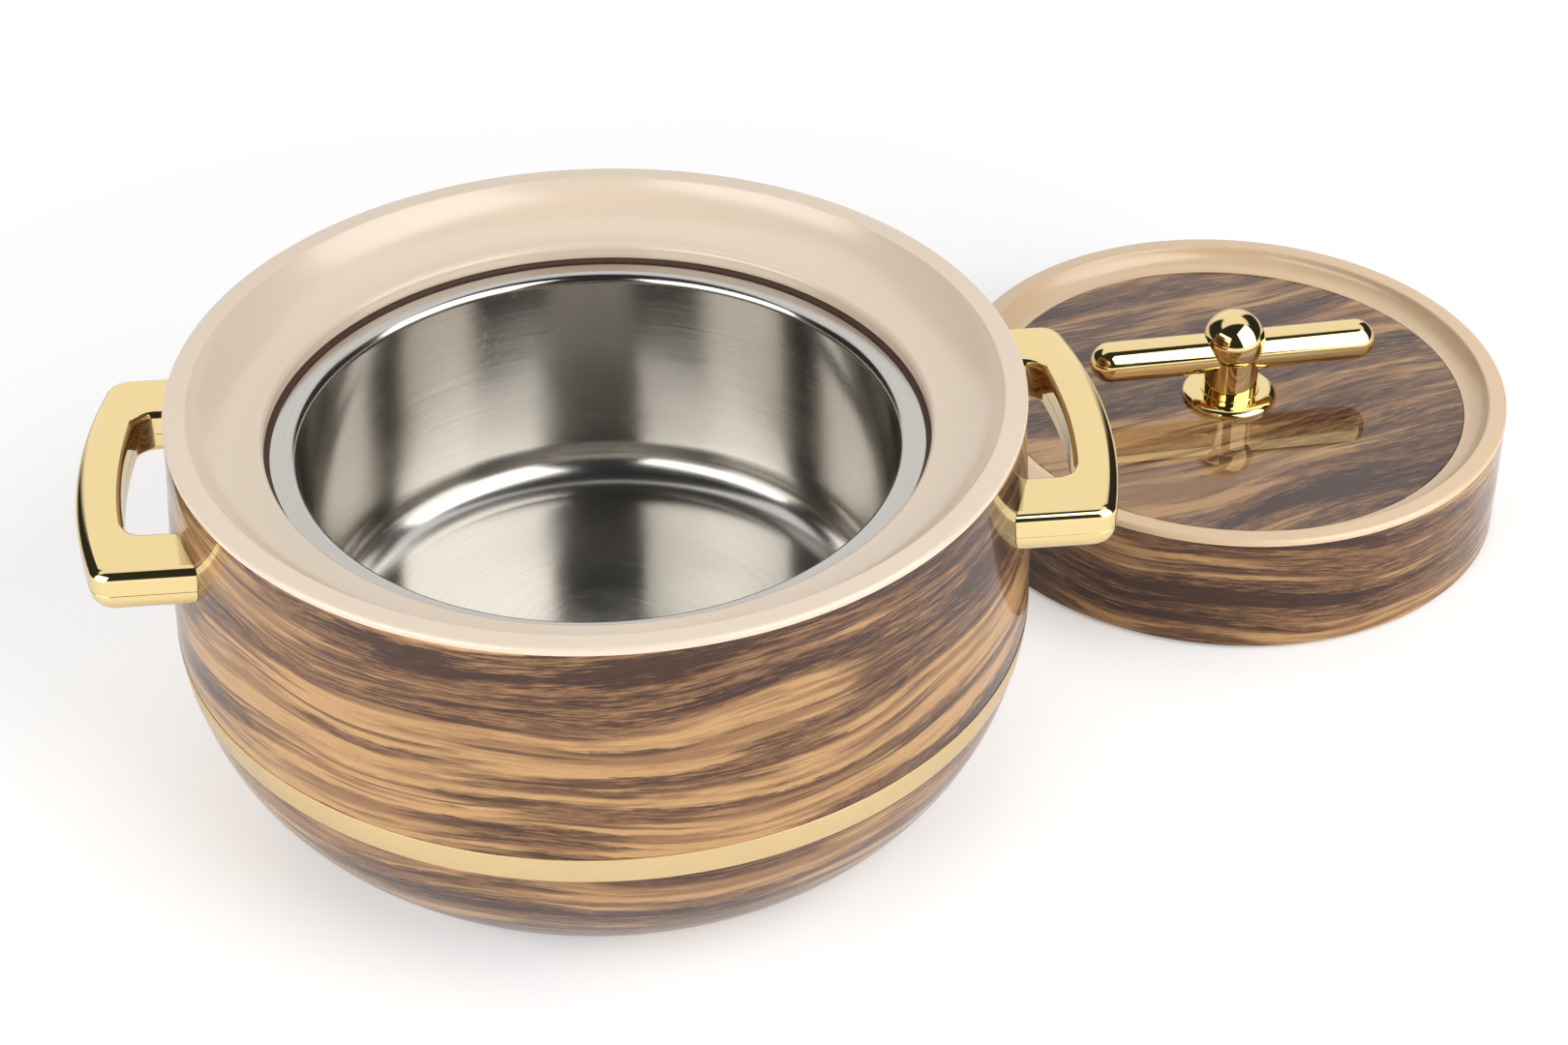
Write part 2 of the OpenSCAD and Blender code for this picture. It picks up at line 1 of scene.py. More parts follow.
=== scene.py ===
import math
import bmesh
import bpy
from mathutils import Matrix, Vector


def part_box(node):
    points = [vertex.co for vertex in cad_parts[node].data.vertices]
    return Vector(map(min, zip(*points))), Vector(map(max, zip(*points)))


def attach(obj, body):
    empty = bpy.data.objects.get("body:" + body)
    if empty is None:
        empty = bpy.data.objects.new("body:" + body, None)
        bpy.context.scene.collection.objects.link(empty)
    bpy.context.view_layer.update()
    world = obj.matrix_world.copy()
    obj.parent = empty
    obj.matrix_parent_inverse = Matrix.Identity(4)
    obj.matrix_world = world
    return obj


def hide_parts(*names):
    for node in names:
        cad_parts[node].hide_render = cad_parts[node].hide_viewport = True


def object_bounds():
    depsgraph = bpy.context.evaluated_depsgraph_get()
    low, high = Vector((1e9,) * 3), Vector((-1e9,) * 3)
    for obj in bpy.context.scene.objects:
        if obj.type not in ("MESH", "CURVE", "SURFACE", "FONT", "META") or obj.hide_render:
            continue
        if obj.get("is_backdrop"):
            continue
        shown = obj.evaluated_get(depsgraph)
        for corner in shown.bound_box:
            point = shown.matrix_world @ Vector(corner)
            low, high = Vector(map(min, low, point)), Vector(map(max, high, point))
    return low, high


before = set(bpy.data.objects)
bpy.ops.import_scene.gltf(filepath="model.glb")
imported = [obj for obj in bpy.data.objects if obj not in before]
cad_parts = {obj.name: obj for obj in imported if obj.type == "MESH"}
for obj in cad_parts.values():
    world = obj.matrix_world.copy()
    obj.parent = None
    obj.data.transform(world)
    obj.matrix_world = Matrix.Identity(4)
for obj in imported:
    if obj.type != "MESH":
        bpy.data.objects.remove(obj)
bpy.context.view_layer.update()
mm = 0.001

# ---- Camera ---------------------------------------------------------------------------
# A short tele lens in front of the pot and a little to its left. It has no roll and no shift,
# and looks down on the pot at 36 degrees.
camera = bpy.data.objects.new("camera", bpy.data.cameras.new("camera"))
camera.data.sensor_width = 36
camera.data.lens = 75.556
camera.location = (-0.03253, -0.79675, 0.65652)
camera.rotation_euler = (math.radians(90 - 36.054), 0, math.radians(-6.24))
bpy.context.scene.collection.objects.link(camera)
bpy.context.scene.camera = camera
bpy.context.scene.view_settings.view_transform = "Standard"

# ---- Outer shell ----------------------------------------------------------------------
# The pot's outer wall is one plastic moulding with a streaky wood pattern printed on it,
# under a clear gloss lacquer. The collar sits on its top edge, the base cover in its foot.
rim_r, pot_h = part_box("rim_collar")[1].x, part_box("rim_collar")[1].z
belly_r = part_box("outer_shell")[1].x
cover_r, cover_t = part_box("base_cover")[1].x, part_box("base_cover")[1].z
lip_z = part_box("outer_shell")[1].z
band_low, band_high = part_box("gold_band")
belly_z = 62 * mm
foot_r = 94 * mm
foot_share = 0.92
shell_wall = 3 * mm
ledge_w, ledge_t = 7 * mm, 2.6 * mm
groove_t = 0.55 * mm
fit_gap = 0.15 * mm
curve_h = belly_z / foot_share
curve_w = (belly_r - foot_r) / (1 - math.sqrt(1 - foot_share ** 2))
foot_round, cover_round, lip_round = 0.6 * mm, 0.4 * mm, 0.25 * mm
foot_clear, groove_clear, lip_clear = 1 * mm, 0.2 * mm, 0.8 * mm
groove_round, above_groove = 0.1 * mm, 0.6 * mm
on_axis = 1e-7


def pot_radius(z, inset=0):
    """Radius at a height of the pot's outer face, or of a face inset from it: a quarter
    ellipse below the belly, and an ease above it."""
    if z < belly_z:
        share = (belly_z - z) / (curve_h - inset)
        return belly_r - curve_w + (curve_w - inset) * math.sqrt(max(0, 1 - share * share))
    t = min(1, (z - belly_z) / (pot_h - belly_z))
    return belly_r - (belly_r - rim_r) * (3 * t * t - 2 * t ** 3) - inset


def spaced(start, end, steps):
    """Evenly spaced values from start to end, both included."""
    return [start + (end - start) * i / steps for i in range(steps + 1)]


def arc(centre_r, centre_z, radius, start, end, steps):
    """Points of an arc between two angles in degrees."""
    return [(centre_r + radius * math.cos(math.radians(a)),
             centre_z + radius * math.sin(math.radians(a))) for a in spaced(start, end, steps)]


def rounded(corners, steps=5):
    """An outline in which each corner given as (radius, height, rounding) has become an arc."""
    points = []
    for i, corner in enumerate(corners):
        if len(corner) == 2:
            points.append(corner)
            continue
        tip = Vector(corner[:2])
        back = (Vector(corners[i - 1][:2]) - tip).normalized()
        ahead = (Vector(corners[(i + 1) % len(corners)][:2]) - tip).normalized()
        half = back.angle(ahead) / 2
        middle = tip + (back + ahead).normalized() * corner[2] / math.sin(half)
        first = tip + back * corner[2] / math.tan(half) - middle
        last = tip + ahead * corner[2] / math.tan(half) - middle
        start = math.degrees(math.atan2(first.y, first.x))
        turn = (math.degrees(math.atan2(last.y, last.x)) - start + 180) % 360 - 180
        points += arc(middle.x, middle.y, corner[2], start, start + turn, steps)
    return points


def settle(piece):
    """Makes what a piece's modifiers give its plain mesh, and removes them."""
    graph = bpy.context.evaluated_depsgraph_get()
    mesh = bpy.data.meshes.new_from_object(piece.evaluated_get(graph))
    piece.modifiers.clear()
    piece.data = mesh
    return piece


def surfaced(name, bm, sharp=32):
    """A smooth piece from a mesh under construction, creased only where it turns sharply."""
    mesh = bpy.data.meshes.new(name)
    bm.to_mesh(mesh)
    bm.free()
    mesh.shade_smooth()
    mesh.set_sharp_from_angle(angle=math.radians(sharp))
    piece = bpy.data.objects.new(name, mesh)
    bpy.context.scene.collection.objects.link(piece)
    normals = piece.modifiers.new("normals", "WEIGHTED_NORMAL")
    normals.keep_sharp = True
    return settle(piece)


def bridged(bm, rings):
    """Faces between each ring of points and the next. A ring that is one point gives triangles."""
    for low, high in zip(rings, rings[1:]):
        if low[0] is low[1] and high[0] is high[1]:
            continue
        for j in range(len(low)):
            k = (j + 1) % len(low)
            corners = [low[j], low[k], high[k], high[j]]
            bm.faces.new([v for n, v in enumerate(corners) if v not in corners[:n]])


def turned(name, outline, centre=(0, 0), segments=256):
    """A closed outline of (radius, height) points turned round an upright axis.
    The attribute run is the length along the outline, in metres."""
    area = sum(a[0] * b[1] - b[0] * a[1] for a, b in zip(outline, outline[1:] + outline[:1]))
    if area < 0:
        outline = outline[::-1]
    bm = bmesh.new()
    run_layer = bm.verts.layers.float.new("run")
    rings, run = [], 0
    for i, (r, z) in enumerate(outline):
        if i:
            run += math.dist(outline[i - 1], (r, z))
        if r < on_axis:
            ring = [bm.verts.new((centre[0], centre[1], z))] * segments
        else:
            ring = [bm.verts.new((centre[0] + r * math.cos(a), centre[1] + r * math.sin(a), z))
                    for a in spaced(0, 2 * math.pi, segments)[:-1]]
        for vertex in set(ring):
            vertex[run_layer] = run
        rings.append(ring)
    bridged(bm, rings + rings[:1])
    return surfaced(name, bm)


def srgb(red, green, blue):
    """A colour as it is seen on a screen, 0 to 255 each, as the shader's own numbers."""
    return tuple(((c / 255 + 0.055) / 1.055) ** 2.4 if c > 10 else c / 255 / 12.92
                 for c in (red, green, blue)) + (1,)


def add(tree, kind, inputs=None, **settings):
    """A node with its settings and inputs, which are values or the sockets that feed them."""
    made = tree.nodes.new(kind)
    for name, value in settings.items():
        setattr(made, name, value)
    for name, value in (inputs or {}).items():
        if isinstance(value, bpy.types.NodeSocket):
            tree.links.new(value, made.inputs[name])
        else:
            made.inputs[name].default_value = value
    return made


def calc(tree, operation, *values):
    """The result of one piece of arithmetic."""
    return add(tree, "ShaderNodeMath", dict(enumerate(values)), operation=operation).outputs[0]


def vector_calc(tree, operation, *values):
    """The result of one piece of vector arithmetic."""
    return add(tree, "ShaderNodeVectorMath", dict(enumerate(values)),
               operation=operation).outputs[0]


def scaled(tree, vector, factor):
    """A vector or a colour multiplied by a value."""
    return add(tree, "ShaderNodeVectorMath", {0: vector, "Scale": factor},
               operation="SCALE").outputs[0]


def combined(tree, **axes):
    """A vector made up from values along its axes."""
    return add(tree, "ShaderNodeCombineXYZ", axes).outputs[0]


def noise(tree, vector, scale, detail, **inputs):
    """Noise with a number of grains a metre."""
    return add(tree, "ShaderNodeTexNoise",
               {"Vector": vector, "Scale": scale, "Detail": detail, **inputs}).outputs["Fac"]


def stretched_noise(tree, vector, along, across, detail=2, roughness=0.5):
    """Noise with its own number of grains a metre along the first two axes and across them."""
    drawn_out = vector_calc(tree, "MULTIPLY", vector, (along, along, across))
    return noise(tree, drawn_out, scale=1, detail=detail, Roughness=roughness)


def remap(tree, value, low, high, to_low=0, to_high=1, smooth=False):
    """A value moved from one range to another, and held inside it."""
    return add(tree, "ShaderNodeMapRange", {"Value": value, "From Min": low, "From Max": high,
                                            "To Min": to_low, "To Max": to_high},
               interpolation_type="SMOOTHSTEP" if smooth else "LINEAR").outputs["Result"]


def group_of(name, inputs, outputs):
    """An empty shader node group with named inputs (name, type, default) and outputs."""
    group = bpy.data.node_groups.new(name, "ShaderNodeTree")
    for label, kind, default in inputs:
        socket = group.interface.new_socket(label, in_out="INPUT", socket_type="NodeSocket" + kind)
        if default is not None:
            socket.default_value = default
    for label, kind in outputs:
        group.interface.new_socket(label, in_out="OUTPUT", socket_type="NodeSocket" + kind)
    into = group.nodes.new("NodeGroupInput").outputs
    return group, into, group.nodes.new("NodeGroupOutput").inputs


def place_group(tree, group, inputs):
    """The outputs of a shader node group placed in a material."""
    return add(tree, "ShaderNodeGroup", inputs, node_tree=group).outputs


def finish_of(name, **values):
    """A material with its shader's uniform values set, as (material, tree, shader)."""
    material = bpy.data.materials.new(name)
    material.use_nodes = True
    shader = material.node_tree.nodes["Principled BSDF"]
    for label, value in values.items():
        shader.inputs[label.replace("_", " ")].default_value = value
    return material, material.node_tree, shader


def feed(tree, shader, **sources):
    """Links what changes over the surface to the shader's sockets."""
    for label, source in sources.items():
        tree.links.new(source, shader.inputs[label.replace("_", " ")])


def bumped(tree, shader, height, distance):
    """Feeds a height, scaled by a distance in metres, to the shader's normal."""
    bump = add(tree, "ShaderNodeBump", {"Height": height, "Distance": distance})
    feed(tree, shader, Normal=bump.outputs["Normal"])


# Coordinates that follow a turned piece: round its axis at a set radius, and up its outline.
round_axis, into, out = group_of(
    "round_axis", [("Vector", "Vector", None), ("Radius", "Float", 0.1), ("Run", "Float", 0)],
    [("Vector", "Vector")])
flat = vector_calc(round_axis, "MULTIPLY", into["Vector"], (1, 1, 0))
at_radius = scaled(round_axis, vector_calc(round_axis, "NORMALIZE", flat), into["Radius"])
both = vector_calc(round_axis, "ADD", at_radius, combined(round_axis, Z=into["Run"]))
round_axis.links.new(both, out["Vector"])

# The wood print, all drawn out along the grain, which runs in X and Y and is crossed in Z: pale
# wood, brown zones with frayed edges, dark streaks, hairlines and fibres.
wood_print, into, out = group_of("wood_print", [
    ("Vector", "Vector", None), ("Dark", "Color", srgb(60, 35, 26)),
    ("Brown", "Color", srgb(97, 65, 45)), ("Tan", "Color", srgb(148, 109, 73)),
    ("Light", "Color", srgb(193, 150, 101)), ("Wave", "Float", 22 * mm)],
    [("Color", "Color"), ("Fibre", "Float")])
fray = 3 * mm
band_share, streak_share, weave_share, frayed_dark_share = 1.7, 0.55, 0.6, 0.5
dark_depth, hairline_depth = 0.9, 0.7


def shifted(tree, vector, lift):
    """A vector moved across the grain."""
    return vector_calc(tree, "ADD", vector, combined(tree, Z=lift))


def swing(tree, value, reach):
    """Noise counted from its middle and multiplied."""
    return calc(tree, "MULTIPLY", calc(tree, "SUBTRACT", value, 0.5), reach)


def layer(tree, share, under, over):
    """One colour laid over another by a share."""
    return add(tree, "ShaderNodeMix", {0: share, 6: under, 7: over}, data_type="RGBA").outputs[2]


bend = stretched_noise(wood_print, into["Vector"], along=9, across=14, detail=1)
grain = shifted(wood_print, into["Vector"], swing(wood_print, bend, into["Wave"]))
fibres = stretched_noise(wood_print, grain, along=110, across=1500, detail=4, roughness=0.7)
frayed = shifted(wood_print, grain, swing(wood_print, fibres, fray))
bands = stretched_noise(wood_print, frayed, along=7, across=62)
streaks = stretched_noise(wood_print, frayed, along=13, across=270, detail=3, roughness=0.6)
hairs = stretched_noise(wood_print, grain, along=15, across=600)
zones = calc(wood_print, "ADD", swing(wood_print, bands, band_share), 0.5)
mixed = calc(wood_print, "ADD", zones, swing(wood_print, streaks, streak_share))
weave = calc(wood_print, "ADD", fibres, swing(wood_print, streaks, weave_share))
darker = calc(wood_print, "ADD", mixed, swing(wood_print, fibres, frayed_dark_share))
light_share = remap(wood_print, streaks, 0.42, 0.58, smooth=True)
pale_share = remap(wood_print, mixed, 0.49, 0.60, smooth=True)
pale = layer(wood_print, light_share, into["Tan"], into["Light"])
brown = layer(wood_print, remap(wood_print, weave, 0.42, 0.66), into["Brown"], into["Tan"])
colour = layer(wood_print, pale_share, brown, pale)
deep = remap(wood_print, darker, 0.44, 0.27, 0, dark_depth, smooth=True)
colour = layer(wood_print, deep, colour, into["Dark"])
hairline = remap(wood_print, hairs, 0.58, 0.68, 0, hairline_depth, smooth=True)
colour = layer(wood_print, hairline, colour, into["Dark"])
shaded = scaled(wood_print, colour, remap(wood_print, fibres, 0.3, 0.7, 0.80, 1.12))
wood_print.links.new(shaded, out["Color"])
wood_print.links.new(fibres, out["Fibre"])

# Signs of use on a glossy face: broad smears of wiping, and a few hair-fine scratches that run
# every way. Both are masks from 0 to 1.
use_marks, into, out = group_of("use_marks", [
    ("Vector", "Vector", None), ("Smear Size", "Float", 30 * mm), ("Scratch Share", "Float", 0.3)],
    [("Smears", "Float"), ("Scratches", "Float")])
scratch_turns, scratch_grains = (20, 75, 140), (24, 1400, 240)
grains = calc(use_marks, "DIVIDE", 1, into["Smear Size"])
wiped = noise(use_marks, into["Vector"], grains, detail=3, Distortion=0.6)
use_marks.links.new(remap(use_marks, wiped, 0.40, 0.68, smooth=True), out["Smears"])
scratched = None
for turn in scratch_turns:
    turned_vector = add(use_marks, "ShaderNodeMapping", {
        "Vector": into["Vector"], "Scale": scratch_grains,
        "Rotation": [math.radians(angle) for angle in (turn, 2 * turn, turn)]}).outputs[0]
    line = remap(use_marks, noise(use_marks, turned_vector, scale=1, detail=1), 0.66, 0.74)
    scratched = line if scratched is None else calc(use_marks, "MAXIMUM", scratched, line)
scratches = calc(use_marks, "MULTIPLY", scratched, into["Scratch Share"])
use_marks.links.new(scratches, out["Scratches"])


def object_place(tree, centre=(0, 0)):
    """Object coordinates, counted from a piece's own upright axis."""
    place = add(tree, "ShaderNodeTexCoord").outputs["Object"]
    if centre == (0, 0):
        return place
    return add(tree, "ShaderNodeMapping",
               {"Vector": place, "Location": (-centre[0], -centre[1], 0)}).outputs[0]


def round_place(tree, centre, radius):
    """Coordinates round a turned piece and up its outline."""
    run = add(tree, "ShaderNodeAttribute", attribute_name="run").outputs["Fac"]
    return place_group(tree, round_axis, {
        "Vector": object_place(tree, centre), "Radius": radius, "Run": run})["Vector"]


def printed(tree, shader, vector):
    """The wood print under its lacquer: the fibres lift it a little, and use has dulled it
    here and there."""
    wood = place_group(tree, wood_print, {"Vector": vector})
    marks = place_group(tree, use_marks, {
        "Vector": vector, "Smear Size": 35 * mm, "Scratch Share": 0.5})
    feed(tree, shader, Base_Color=wood["Color"],
         Roughness=remap(tree, marks["Smears"], 0, 1, 0.46, 0.58),
         Coat_Weight=remap(tree, marks["Scratches"], 0, 1, 1, 0.94))
    bumped(tree, shader, wood["Fibre"], 0.02 * mm)


def round_print(name, centre, radius):
    """The lacquered wood print on a turned wall, with its grain running round."""
    material, tree, shader = finish_of(name, Specular_IOR_Level=0.1, Coat_Weight=1.0,
                                       Coat_Roughness=0.03, Coat_IOR=1.38)
    printed(tree, shader, round_place(tree, centre, radius))
    return material


inside_z = cover_t + ledge_t
ledge_r, recess_r = cover_r - ledge_w, cover_r + fit_gap
groove_low_r, groove_high_r = pot_radius(band_low.z), pot_radius(band_high.z)
under_heights = [belly_z * (1 - math.cos(math.radians(a))) for a in spaced(12, 72, 30)]
shell_low = [(foot_r, 0, foot_round)] + [
    (pot_radius(z), z) for z in under_heights if foot_clear < z < band_low.z - groove_clear]
shell_groove = [
    (groove_low_r, band_low.z, groove_round), (groove_low_r - groove_t, band_low.z),
    (groove_high_r - groove_t, band_high.z), (groove_high_r, band_high.z, groove_round)]
shell_high = [(pot_radius(z), z) for z in spaced(band_high.z + above_groove, lip_z - lip_clear, 40)]
shell_inside = [(pot_radius(z, shell_wall), z) for z in spaced(lip_z, inside_z, 40)]
outer_shell = turned("outer_shell_printed", rounded(
    shell_low + shell_groove + shell_high + [(pot_radius(lip_z), lip_z, lip_round)] + shell_inside
    + [(ledge_r, inside_z), (ledge_r, cover_t), (recess_r, cover_t), (recess_r, 0, cover_round)]))
outer_shell.data.materials.append(round_print("wood_print_round_pot", (0, 0), belly_r))
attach(outer_shell, "pot")
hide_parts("outer_shell")

# ---- Rim collar -----------------------------------------------------------------------
# One cream plastic moulding that closes the wall: a flat land, a funnel and a round mouth.
# It drops into the shell on a skirt and holds the bowl's seat down on the foam.
land_w = 6.6 * mm
edge_round, land_edge, mouth_edge, fine_edge = 1.2 * mm, 0.7 * mm, 0.3 * mm, 0.2 * mm
mouth_r, mouth_round = 97.5 * mm, 2 * mm
shelf_z = pot_h - 12.2 * mm
collar_wall = 2.5 * mm
skirt_t, skirt_h = 2 * mm, 12 * mm
lip_bottom_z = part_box("rim_collar")[0].z
lip_out_r = mouth_r + collar_wall
funnel_foot_r = mouth_r + mouth_round
funnel_run, funnel_drop = rim_r - land_w - funnel_foot_r, pot_h - shelf_z
funnel_bend = (funnel_run ** 2 + funnel_drop ** 2) / (2 * funnel_drop)
funnel_z = shelf_z + funnel_bend
funnel_end = math.degrees(math.asin(funnel_run / funnel_bend))
skirt_r = rim_r - shell_wall - fit_gap
skirt_in_r = skirt_r - skirt_t
under_end = math.degrees(math.asin((skirt_in_r - funnel_foot_r) / (funnel_bend + collar_wall)))


def toned(colour, share):
    """A colour made darker or paler by a share."""
    return tuple(c * share for c in colour[:3]) + (1,)


def moulded_plastic(name, colour, roughness):
    """A plain moulding: faintly mottled colour, a fine orange peel and a few dull patches."""
    material, tree, shader = finish_of(name, Specular_IOR_Level=0.9)
    place = object_place(tree)
    cloud = noise(tree, place, scale=14, detail=1)
    peel = noise(tree, place, scale=900, detail=2)
    mottle = remap(tree, cloud, 0.3, 0.7, smooth=True)
    feed(tree, shader, Base_Color=layer(tree, mottle, toned(colour, 0.976), colour),
         Roughness=remap(tree, cloud, 0.2, 0.8, roughness * 0.9, roughness * 1.1))
    bumped(tree, shader, peel, 0.01 * mm)
    return material


funnel = arc(funnel_foot_r, funnel_z, funnel_bend, -90 + funnel_end, -90, 40)
funnel_under = arc(funnel_foot_r, funnel_z, funnel_bend + collar_wall, -90, -90 + under_end, 24)
rim_collar = turned("rim_collar_moulded", rounded(
    [(rim_r, lip_z, fine_edge), (rim_r, pot_h, edge_round), (funnel[0][0], pot_h, land_edge)]
    + funnel[2:-1]
    + [(mouth_r, shelf_z, mouth_round), (mouth_r, lip_bottom_z, mouth_edge),
       (lip_out_r, lip_bottom_z)]
    + [(r, z) for r, z in funnel_under if r > lip_out_r]
    + [(skirt_in_r, pot_h - skirt_h), (skirt_r, pot_h - skirt_h), (skirt_r, lip_z)],
    steps=8))
rim_collar.data.materials.append(moulded_plastic("cream_plastic", srgb(228, 209, 187), 0.24))
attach(rim_collar, "pot")
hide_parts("rim_collar")

# ---- Steel bowl -----------------------------------------------------------------------
# Spun from one sheet of stainless steel and brushed round its axis, inside and out. Its flat
# seat runs in under the collar, and its floor and wall rest in the foam.
steel_t = 0.9 * mm
bowl_r, cove_r, shoulder_r = 88 * mm, 13 * mm, 3 * mm
seat_low, seat_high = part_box("inner_bowl")
seat_z, flange_r = seat_high.z, seat_high.x
bowl_floor_z = seat_low.z + steel_t
steel_roughness = 0.17


def brushed_steel(name, centre=(0, 0)):
    """Steel brushed in rings: fine lines in its roughness and height, and drawn-out highlights."""
    material, tree, shader = finish_of(
        name, Metallic=1.0, Anisotropic=0.6, Anisotropic_Rotation=0.25)
    place = object_place(tree, centre)
    vector = round_place(tree, centre, 80 * mm)
    lines = stretched_noise(tree, vector, along=12, across=2600, detail=3, roughness=0.7)
    smears = stretched_noise(tree, vector, along=10, across=40)
    marks = place_group(tree, use_marks, {
        "Vector": place, "Smear Size": 50 * mm, "Scratch Share": 0.35})
    brushed = remap(tree, lines, 0.25, 0.75, steel_roughness * 0.8, steel_roughness * 1.2)
    dull = calc(tree, "ADD", brushed, remap(tree, smears, 0.3, 0.7, -0.03, 0.03))
    worn = calc(tree, "MAXIMUM", calc(tree, "MULTIPLY", marks["Smears"], 0.03),
                calc(tree, "MULTIPLY", marks["Scratches"], 0.12))
    split = add(tree, "ShaderNodeSeparateXYZ", {0: place}).outputs
    minus_y = calc(tree, "MULTIPLY", split["Y"], -1)
    feed(tree, shader, Base_Color=layer(tree, lines, srgb(184, 180, 174), srgb(210, 207, 201)),
         Roughness=calc(tree, "ADD", dull, worn), Tangent=combined(tree, X=minus_y, Y=split["X"]))
    bumped(tree, shader, lines, 0.004 * mm)
    return material


shoulder_c = bowl_r + shoulder_r
inner_bowl = turned("inner_bowl_spun", (
    [(bowl_r * share, bowl_floor_z) for share in (0, 0.3, 0.6)]
    + arc(bowl_r - cove_r, bowl_floor_z + cove_r, cove_r, -90, 0, 24)
    + arc(shoulder_c, seat_z - shoulder_r, shoulder_r, 180, 90, 14)
    + arc(flange_r - steel_t / 2, seat_z - steel_t / 2, steel_t / 2, 90, -90, 8)
    + arc(shoulder_c, seat_z - shoulder_r, shoulder_r - steel_t, 90, 180, 14)
    + arc(bowl_r - cove_r, bowl_floor_z + cove_r, cove_r + steel_t, 0, -90, 24)
    + [(0, bowl_floor_z - steel_t)]))
inner_bowl.data.materials.append(brushed_steel("brushed_steel_bowl"))
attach(inner_bowl, "pot")
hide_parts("inner_bowl")

# ---- Bowl gasket ----------------------------------------------------------------------
# A flat silicone ring pinched between the bowl's seat and the collar's lip. Its dark inner edge
# reaches in past the lip as painted shade: it stands in for the shadowed gap round the mouth.
gasket_low, gasket_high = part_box("bowl_gasket")
gap_shade_reach, gasket_low_edge, gasket_high_edge = 1.6 * mm, 0.15 * mm, 0.3 * mm
gasket_in_r = mouth_r - gap_shade_reach


def silicone(name, colour):
    """Matte silicone rubber with a fine bloom."""
    material, tree, shader = finish_of(name, Specular_IOR_Level=0.35)
    bloom = noise(tree, object_place(tree), scale=140, detail=4)
    feed(tree, shader, Base_Color=layer(tree, bloom, colour, toned(colour, 1.25)),
         Roughness=remap(tree, bloom, 0.3, 0.7, 0.5, 0.68))
    bumped(tree, shader, bloom, 0.03 * mm)
    return material


# The dark ring's inner edge, inside the mouth, is painted shade for the gap under the lip.
bowl_gasket = turned("bowl_gasket_ring_painted_gap_shade", rounded([
    (gasket_in_r, gasket_low.z, gasket_low_edge), (gasket_high.x, gasket_low.z),
    (gasket_high.x, gasket_high.z), (gasket_in_r, gasket_high.z, gasket_high_edge)]))
dark_silicone = silicone("dark_silicone", srgb(70, 49, 37))
bowl_gasket.data.materials.append(dark_silicone)
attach(bowl_gasket, "pot")
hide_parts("bowl_gasket")

# ---- Gold band ------------------------------------------------------------------------
# A thin ring of satin gold foil under lacquer. It lies in a groove of the shell below the
# belly and stands a little proud of the wall.
band_proud, band_t, band_edge = 0.25 * mm, 0.45 * mm, 0.1 * mm


def gold_finish(name, colour, roughness, smear):
    """Gold with a slightly cloudy polish: smears and scratches in its roughness, and a faint
    unevenness."""
    material, tree, shader = finish_of(name, Metallic=1.0)
    place = object_place(tree)
    marks = place_group(tree, use_marks, {
        "Vector": place, "Smear Size": 20 * mm, "Scratch Share": 0.5})
    cloud = noise(tree, place, scale=60, detail=4)
    ripple = noise(tree, place, scale=120, detail=1)
    dull = remap(tree, marks["Smears"], 0, 1, roughness, roughness + smear)
    scratches = calc(tree, "MULTIPLY", marks["Scratches"], 0.12)
    feed(tree, shader, Base_Color=layer(tree, cloud, toned(colour, 0.94), colour),
         Roughness=calc(tree, "ADD", dull, scratches))
    bumped(tree, shader, ripple, 0.012 * mm)
    return material


band_points = [(pot_radius(z) + band_proud, z) for z in spaced(band_low.z, band_high.z, 10)]
band_first, band_last = band_points[0], band_points[-1]
gold_band = turned("gold_band_ring", rounded(
    [band_first + (band_edge,)] + band_points[1:-1] + [band_last + (band_edge,)]
    + [(band_last[0] - band_t, band_high.z), (band_first[0] - band_t, band_low.z)]))
gold_band.data.materials.append(gold_finish("gold_foil", srgb(236, 209, 158), 0.26, 0.08))
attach(gold_band, "pot")
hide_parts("gold_band")

# ---- Handles --------------------------------------------------------------------------
# Each is a D-shaped loop in two gold-plated mouldings, screwed on from inside the shell. The
# upper half has a rounded bevel, the lower half a full round, and a parting line lies between.
handle_low, handle_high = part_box("handle_upper_right")
parting_z, handle_top_z = handle_low.z, handle_high.z
handle_bottom_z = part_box("handle_lower_right")[0].z
handle_half_w = handle_high.y
grip_face_r = 175 * mm
grip_axis_x = handle_high.x - grip_face_r
grip_w, gap_half_w = 13.2 * mm, 30 * mm
handle_corner_r, gap_corner_r = 6.5 * mm, 6 * mm
top_bevel, under_round = 3 * mm, 5.8 * mm
face_spread, corner_spread, corner_share, corner_least = 1.9, 1.9, 0.5, 0.9 * mm
gap_edge, parting_edge, gap_levels = 2.6 * mm, 0.16 * mm, (0.15, 0.5, 1)
seat_gap = 0.1 * mm


def eased(z, low, high, low_round, high_round):
    """How far a side is drawn in at a height, with its lower and upper edges rounded."""
    if z > high - high_round:
        return high_round - math.sqrt(max(0, high_round ** 2 - (z - high + high_round) ** 2))
    if z < low + low_round:
        return low_round - math.sqrt(max(0, low_round ** 2 - (low + low_round - z) ** 2))
    return 0


def handle_side(face_r, half_w, corner_r, z):
    """One side of the loop seen from above: from the pot along an arm, round the face and back."""
    corner_y = half_w - corner_r
    corner_x = math.sqrt((face_r - corner_r) ** 2 - corner_y ** 2)
    turn = math.degrees(math.atan2(corner_y, corner_x))
    start_x = math.sqrt((pot_radius(z) + seat_gap) ** 2 - half_w ** 2) - grip_axis_x
    arm = [(x, half_w) for x in spaced(start_x, corner_x, 6)[:-1]]
    corner = arc(corner_x, corner_y, corner_r, 90, turn, 10)
    face = arc(0, 0, face_r, turn, 0, 32)[1:]
    half = arm + corner + face
    return [(grip_axis_x + x, y) for x, y in half + [(x, -y) for x, y in half[-2::-1]]]


